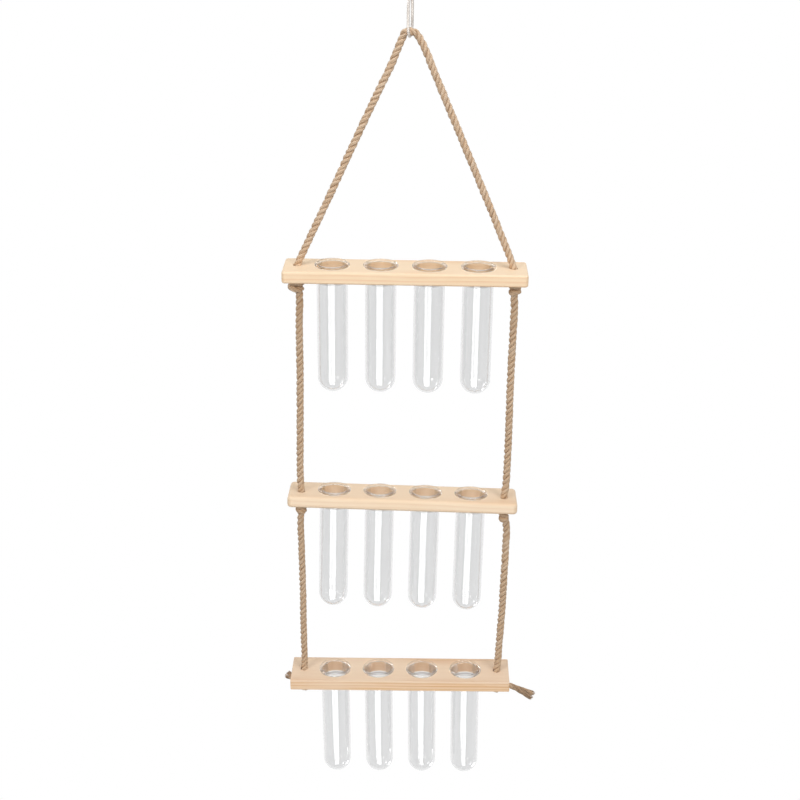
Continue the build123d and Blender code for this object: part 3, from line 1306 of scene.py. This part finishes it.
@dataclass
class Knot:
    """An overhand knot drawn up under a board, with the rope in the hole above it."""

    tier: str
    side: Side
    inner_share: float  # how far the wraps stand out towards the board's middle
    outer_share: float  # and towards its end
    height_share: float
    board_thickness: float = 13.0
    thickness_share: float = 0.92

    def build(self, place: Matrix, finish: bpy.types.Material, seed: int) -> None:
        """Ties the knot.

        Args:
            place: The place of the hole's mouth.
            finish: The rope's material.
            seed: What its unevenness is drawn from.
        """
        under = Matrix.Translation((0, 0, -self.board_thickness * MM))
        wraps = KNOT_ROUTE[KNOT_LEAD:-KNOT_TAIL]
        points = [Vector(p) * MM for p in KNOT_ROUTE]
        for n, (x, y, z) in enumerate(wraps, start=KNOT_LEAD):
            out = x * (self.outer_share if x > 0 else self.inner_share)
            points[n] = Vector((out * self.side.value, y, z * self.height_share)) * MM
        placed = [place @ under @ p for p in points]
        rope = Rope(placed, thickness_share=self.thickness_share, seed=seed)
        skein = Skein()
        rope.twist(skein)
        obj = skein.mesh(f"{self.tier}_knot_{self.side.word}")
        settle(obj, finish, Slot.JUTE, f"{self.tier}_tier", f"{self.tier}_{self.side.word}_knot")


@dataclass
class LooseEnd:
    """An end of the rope that has started to come apart."""

    side: Side
    route: list[Point]  # in millimetres, from the mouth of the lower board's hole
    opens: float  # how far along the rope its strands let go of each other
    spread: float  # how far its yarns stand from the middle at the end
    yarns: int
    fibres: int
    uneven: float  # how much longer or shorter some yarns are
    seed: int
    free_cord: bool  # whether it is long enough to hang as a free cord
    yarn_radius: float = 0.42 * MM
    fibre_radius: float = 0.07 * MM
    step: float = 0.8 * MM
    thickness_share: float = 0.9

    def build(self, place: Matrix, finish: bpy.types.Material) -> None:
        """Lays the end's closed part and fans out the rest.

        Args:
            place: The place of the hole's mouth.
            finish: The rope's material.
        """
        points = [place @ (Vector(p) * MM) for p in self.route]
        course = Course.of(spline_line(points), self.step)
        closed = int(np.searchsorted(course.along, self.opens + 3 * MM))
        skein = Skein()
        rope = Rope(points, thickness_share=self.thickness_share, seed=self.seed)
        rope.lay_strands(skein, course.cut(closed))
        rng = random.Random(self.seed + 1)
        for _ in range(self.yarns):
            self._yarn(skein, course, rng, self.yarn_radius * rng.uniform(0.8, 1.35), 6)
        for _ in range(self.fibres):
            self._yarn(skein, course, rng, self.fibre_radius * rng.uniform(0.7, 1.6), 3)
        obj = skein.mesh(f"loose_end_{self.side.word}")
        settle(obj, finish, Slot.JUTE, "lower_tier", f"{self.side.word}_rope_end")
        if self.free_cord:
            tuple(course.points[0])
        log.info("%s is %.1f mm long", obj.name, course.length / MM)

    def _yarn(
        self,
        skein: Skein,
        course: Course,
        rng: random.Random,
        radius: float,
        sides: int,
    ) -> None:
        """Adds one yarn or fibre that leaves the bundle where the rope opens."""
        begins = self.opens - rng.uniform(1.0, 4.0) * MM
        ends = course.length - abs(rng.gauss(0, 1)) * self.uneven
        turn = rng.uniform(0, FULL_TURN)
        swirl = rng.uniform(0.5, 1.1) * FULL_TURN / Lay.pitch
        inner = 2.5 * MM * rng.random() ** 0.35
        outer = (self.spread - radius) * rng.random() ** 0.3
        wave = rng.uniform(0.1, 0.35) * MM
        phase = rng.uniform(0, FULL_TURN)
        steps = 22
        middle = []
        for n in range(steps + 1):
            t = n / steps
            at = begins + (ends - begins) * t
            i = min(int(np.searchsorted(course.along, at)), len(course.along) - 1)
            off = inner + (outer - inner) * t**1.3 + wave * t * math.sin(phase + 9 * t)
            angle = turn + swirl * (at - begins) * (1 - 0.5 * t)
            out = Vector(course.right[i]) * math.cos(angle) + Vector(course.up[i]) * math.sin(angle)
            middle.append(Vector(course.at(at)) + out * off)
        radii = [radius * (1 - 0.35 * n / steps) for n in range(steps + 1)]
        # Each yarn's crest is drawn at random, so it takes a random share of the painted groove shade.
        thin_tube(skein, middle, radii, sides, rng.random(), 0.2 + 0.6 * rng.random())


class Studio:
    """The floor, the lamps, the world and the camera."""

    FLOOR_DROP = 3.4
    FLOOR_SIZE = 400.0
    SOFT_LIGHT = 0.5  # the world's strength for all but the rays that show it
    CAMERA_PLACE = (0.02453, -1.3952, 0.16061)
    CAMERA_TURN = (-1.17, 23.01, 0.62)  # yaw, pitch and roll, in degrees
    LENS = 64.14
    SENSOR = 36.0
    FAR = 500.0

    @classmethod
    def build(cls) -> None:
        """Sets everything up."""
        bpy.context.scene.view_settings.view_transform = "Standard"
        cls._floor()
        cls._world()
        top = cls._softbox("overhead", (0.2, -0.6, 1.5), (17, 5, 0), (1.3, 0.6), 5.2)
        top.data.color = (0.93, 1.0, 1.12)
        cls._softbox("key_left", (-1.7, -2.0, 1.0), (63, 0, -40), (0.8, 0.9), 9.3)
        cls._softbox("key_right", (1.5, -2.2, 1.0), (63, 0, 34), (0.8, 0.9), 9.3)
        shine = [
            cls._softbox("window_left", (-0.52, -1.25, -1.25), (90, 0, 0), (0.48, 1.5), 8.0),
            cls._softbox("window_right", (0.08, -1.25, -1.25), (90, 0, 0), (0.64, 1.5), 8.0),
            cls._softbox("low_right", (1.75, 0.7, -2.95), (0, 141, 22), (0.7, 0.7), 7.0),
            cls._softbox("back_left", (-1.7, 1.0, 0.4), (-62, 0, 60), (0.8, 0.8), 7.0),
        ]
        for lamp in shine:
            lamp.visible_diffuse = False
        for window in shine[:2]:
            window.visible_transmission = False
        cls._flag("flag_left", -0.78, -1)
        cls._flag("flag_right", 0.42, 1)
        cls._camera()

    @staticmethod
    def _shown_rays(r: Recipe) -> Wire:
        """Above zero for the rays that show the floor and the world themselves."""
        path = r.node("ShaderNodeLightPath")
        seen = [r.out(path, f"Is {kind} Ray") for kind in ("Camera", "Glossy", "Transmission")]
        return seen[0] + seen[1] + seen[2]

    @classmethod
    def _floor(cls) -> None:
        """A white floor far below, which runs to the horizon."""
        Bench.clear()
        bpy.ops.mesh.primitive_plane_add(size=cls.FLOOR_SIZE, location=(0, 0, -cls.FLOOR_DROP))
        floor = Bench.added("floor")
        made, r = material("white_floor")
        glow = r.node("ShaderNodeEmission", None, {"Color": (1.0, 1.0, 1.0), "Strength": 1.0})
        matt = r.node("ShaderNodeBsdfDiffuse", None, {"Color": (0.8, 0.8, 0.8)})
        share = cls._shown_rays(r).math("MINIMUM", 1.0)
        both = r.node("ShaderNodeMixShader", None, {0: share, 1: r.out(matt), 2: r.out(glow)})
        r.end(both)
        floor.data.materials.append(made)

    @classmethod
    def _world(cls) -> None:
        """A plain soft light from everywhere, white where it is seen."""
        world = bpy.data.worlds.new("studio")
        world.use_nodes = True
        bpy.context.scene.world = world
        r = Recipe(world.node_tree)
        seen = cls._shown_rays(r).math("MINIMUM", 1.0)
        strength = seen * (1 - cls.SOFT_LIGHT) + cls.SOFT_LIGHT
        back = r.node("ShaderNodeBackground", None, {"Color": (1.0, 1.0, 1.0), "Strength": strength})
        r.node("ShaderNodeOutputWorld", None, {"Surface": r.out(back)})

    @staticmethod
    def _softbox(
        name: str, place: Point, turned: Point, size: tuple[float, float], glow: float
    ) -> bpy.types.Object:
        """Adds a soft lamp.

        Args:
            name: Its name.
            place: Where it stands.
            turned: Its turn, in degrees. Unturned, it shines down.
            size: Its width and height.
            glow: How bright its face is, where 1 is white.

        Returns:
            The lamp.
        """
        lamp = bpy.data.lights.new(name, "AREA")
        lamp.shape = "RECTANGLE"
        lamp.size, lamp.size_y = size
        lamp.energy = glow * math.pi * size[0] * size[1]
        obj = bpy.data.objects.new(name, lamp)
        obj.location = place
        obj.rotation_euler = [math.radians(a) for a in turned]
        obj.visible_camera = False
        bpy.context.scene.collection.objects.link(obj)
        return obj

    @classmethod
    def _flag(cls, name: str, edge: float, side: int) -> None:
        """Adds a dark card beside the window lamps, which only reflections show.

        Args:
            name: Its name.
            edge: Where its inner edge stands.
            side: -1 where it runs to the left from there, 1 to the right.
        """
        wide, high, fade = 1.1, 1.7, 0.8
        Bench.clear()
        bpy.ops.mesh.primitive_plane_add(
            size=1, location=(edge + side * wide / 2, -1.27, -1.25), rotation=(math.pi / 2, 0, 0)
        )
        card = Bench.added(name)
        card.scale = (wide, high, 1)
        bpy.context.view_layer.update()
        Bench.place(card, Matrix.Identity(4))
        made, r = material(name)
        x, _, _ = r.split(r.place())
        glow = r.level((x - edge) * side, 0.0, fade, 0.1, 0.95)
        shade = r.node("ShaderNodeEmission", None, {"Color": (1.0, 1.0, 1.0), "Strength": glow})
        r.end(shade)
        card.data.materials.append(made)
        card.visible_camera = False
        card.visible_diffuse = False
        card.visible_transmission = False
        card.visible_shadow = False

    @classmethod
    def _camera(cls) -> None:
        """The camera, where the photograph was taken from."""
        yaw, pitch, roll = (math.radians(a) for a in cls.CAMERA_TURN)
        flat = Vector((math.cos(yaw), -math.sin(yaw), 0))
        level, down = math.cos(pitch), -math.sin(pitch)
        ahead = Vector((math.sin(yaw) * level, math.cos(yaw) * level, down))
        level_up = flat.cross(ahead)
        right = flat * math.cos(roll) + level_up * math.sin(roll)
        up = level_up * math.cos(roll) - flat * math.sin(roll)
        data = bpy.data.cameras.new("camera")
        data.lens = cls.LENS
        data.sensor_width = cls.SENSOR
        data.clip_end = cls.FAR
        camera = bpy.data.objects.new("camera", data)
        turn = Matrix((right, up, -ahead)).transposed().to_4x4()
        camera.matrix_world = Matrix.Translation(cls.CAMERA_PLACE) @ turn
        bpy.context.scene.collection.objects.link(camera)
        bpy.context.scene.camera = camera


BOARDS = [
    Board("upper", edge=2.4 * MM, corner=3.4 * MM, hole_forward=0.0),
    Board("middle", edge=3.6 * MM, corner=4.6 * MM, hole_forward=6.0 * MM),
    Board("lower", edge=0.9 * MM, corner=1.2 * MM, hole_forward=0.0),
]

KNOT_SHARES = {  # inner, outer, height
    ("upper", Side.LEFT): (0.85, 1.15, 1.1),
    ("upper", Side.RIGHT): (0.3, 0.9, 1.1),
    ("middle", Side.LEFT): (0.7, 0.45, 0.8),
    ("middle", Side.RIGHT): (0.35, 0.5, 1.0),
    ("lower", Side.LEFT): (1.0, 1.0, 0.72),
    ("lower", Side.RIGHT): (1.0, 1.0, 0.72),
}

PINES = [
    PineFinish(
        name="pine_upper",
        early=linear("f8dfbe"),
        below_top=linear("f8dab4"),
        late=linear("e8b07a"),
        ring_spacing=4.6 * MM,
        pith_depth=180 * MM,
        pith_back=-4 * MM,
        run_out=0.03,
        contrast=0.7,
        seed=1.3,
    ),
    PineFinish(
        name="pine_middle",
        early=linear("f4dabb"),
        below_top=linear("f5dcbc"),
        late=linear("dfb080"),
        ring_spacing=4.4 * MM,
        pith_depth=170 * MM,
        pith_back=8 * MM,
        run_out=-0.03,
        contrast=0.5,
        seed=4.7,
    ),
    PineFinish(
        name="pine_lower",
        early=linear("f1d8bc"),
        below_top=linear("efc89a"),
        late=linear("c98743"),
        ring_spacing=3.7 * MM,
        pith_depth=220 * MM,
        pith_back=0.0,
        run_out=0.02,
        contrast=0.95,
        seed=8.1,
    ),
]

STRETCHES = [
    Stretch(
        name="sling",
        node="rope_sling",
        route=[
            (-111.0, 0.0, -287.0), (-110.9, 0.0, -283.2), (-102.3, -0.2, -265.2),
            (-78.4, 0.2, -214.0), (-53.2, 0.3, -158.9), (-30.4, -0.2, -109.6), (-18.4, -0.1, -85.9),
            (-4.6, 0.0, -52.0), (-2.9, 0.0, -48.2), (2.4, 0.0, -47.5), (8.8, 0.0, -49.9),
            (17.3, 0.1, -65.5), (25.8, 0.2, -86.4), (36.1, 0.2, -110.0), (57.9, -0.2, -159.6),
            (82.0, 0.2, -214.5), (103.6, 0.0, -265.2), (110.9, 0.0, -283.2), (111.0, 0.0, -287.0),
        ],
        rides=("sling", "upper_tier"),
        mouth=-283.7,
        thickness_share=1.01,
        seed=11,
    ),
    Stretch(
        name="middle_rope_left",
        node="middle_left_rope",
        route=[
            (-110.2, 0.0, -307.7), (-108.6, 0.1, -317.0), (-110.0, -0.3, -345.0),
            (-109.8, 0.1, -380.0), (-110.3, 0.2, -430.0), (-111.5, -0.1, -490.0),
            (-111.9, 0.0, -530.0), (-111.0, 0.0, -539.5), (-111.0, 0.0, -545.6),
        ],
        rides=("middle_ropes", "middle_tier"),
        mouth=-542.65,
        thickness_share=1.06,
        seed=23,
    ),
    Stretch(
        name="middle_rope_right",
        node="middle_right_rope",
        route=[
            (111.6, 0.0, -307.7), (113.2, -0.1, -317.0), (113.2, 0.2, -345.0), (112.6, 0.1, -376.0),
            (112.4, -0.2, -425.0), (113.0, 0.2, -480.0), (112.6, 0.1, -530.0), (111.0, 0.0, -542.0),
            (111.0, 0.0, -548.7),
        ],
        rides=("middle_ropes", "middle_tier"),
        mouth=-545.75,
        thickness_share=1.08,
        seed=37,
    ),
    Stretch(
        name="lower_rope_left",
        node="lower_left_rope",
        route=[
            (-111.6, -2.1, -566.4), (-112.4, -2.1, -577.0), (-111.6, -2.3, -618.0),
            (-111.0, -1.9, -670.0), (-111.2, -2.2, -722.0), (-110.4, -2.1, -756.0),
            (-111.3, -2.1, -768.0), (-111.4, -2.1, -773.6),
        ],
        rides=("lower_ropes", "lower_tier"),
        mouth=-770.65,
        thickness_share=1.02,
        seed=41,
    ),
    Stretch(
        name="lower_rope_right",
        node="lower_right_rope",
        route=[
            (112.4, -2.1, -568.0), (115.2, -2.1, -577.0), (115.0, -1.9, -610.0),
            (114.3, -2.2, -650.0), (113.9, -2.3, -690.0), (112.3, -2.0, -728.0),
            (111.8, -2.1, -755.0), (110.6, -2.1, -764.5), (110.6, -2.1, -770.5),
        ],
        rides=("lower_ropes", "lower_tier"),
        mouth=-767.55,
        thickness_share=1.1,
        seed=53,
    ),
]

LOOSE_ENDS = [
    LooseEnd(
        side=Side.LEFT,
        route=[
            (0.0, 0.0, -18.1), (-5.0, 1.2, -18.3), (-9.6, 2.9, -17.4), (-15.2, 5.6, -16.2),
            (-21.4, 9.4, -14.4),
        ],
        opens=15.0 * MM,
        spread=5.4 * MM,
        yarns=60,
        fibres=120,
        uneven=0.8 * MM,
        seed=61,
        free_cord=False,
    ),
    LooseEnd(
        side=Side.RIGHT,
        route=[
            (0.0, 0.0, -18.1), (5.5, 0.0, -18.2), (10.0, 0.0, -18.9), (17.5, 0.2, -21.0),
            (30.6, 0.8, -27.8), (43.0, 1.2, -35.2),
        ],
        opens=16.0 * MM,
        spread=5.7 * MM,
        yarns=76,
        fibres=160,
        uneven=2.2 * MM,
        seed=71,
        free_cord=True,
    ),
]


def main() -> None:
    """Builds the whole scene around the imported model."""
    logging.basicConfig(level=logging.INFO, format="%(message)s")
    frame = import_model()
    Studio.build()
    places = Places.read(frame)
    # The sling takes the plain jute; the other ropes, the knots and the ends take its copy with painted
    # shade.
    jute, shaded_jute = JuteFinish().make(), JuteFinish.shaded_jute().make()
    Hook().build(SteelFinish().make())
    pattern = Tube().turn("tube_pattern")
    for board, pine in zip(BOARDS, PINES):
        place = places.tier(board.tier, board.hole_forward)
        board.build(place, pine.make(place))
        for number, x in enumerate(board.tube_places(), start=1):
            node = f"{board.tier}_tube_{number}"
            tube = Bench.copy(pattern, f"{board.tier}_glass_{number}")
            Bench.place(tube, place @ Matrix.Translation((x, 0, 0)))
            settle(tube, None, Slot.GLASS, node, node)
        for side in Side:
            mouth = place @ Matrix.Translation((side.value * board.rope_hole_x, -board.hole_forward, 0))
            knot = Knot(board.tier, side, *KNOT_SHARES[board.tier, side])
            knot.build(mouth, shaded_jute, seed=KNOT_SEED + len(bpy.data.objects))
    bpy.data.meshes.remove(pattern.data)
    for stretch in STRETCHES:
        stretch.build(jute if stretch.name == "sling" else shaded_jute)
    for end in LOOSE_ENDS:
        hole = Matrix.Translation((end.side.value * BOARDS[-1].rope_hole_x, 0, 0))
        end.build(places.tier("lower", 0.0) @ hole, shaded_jute)


if __name__ == "__main__":
    main()
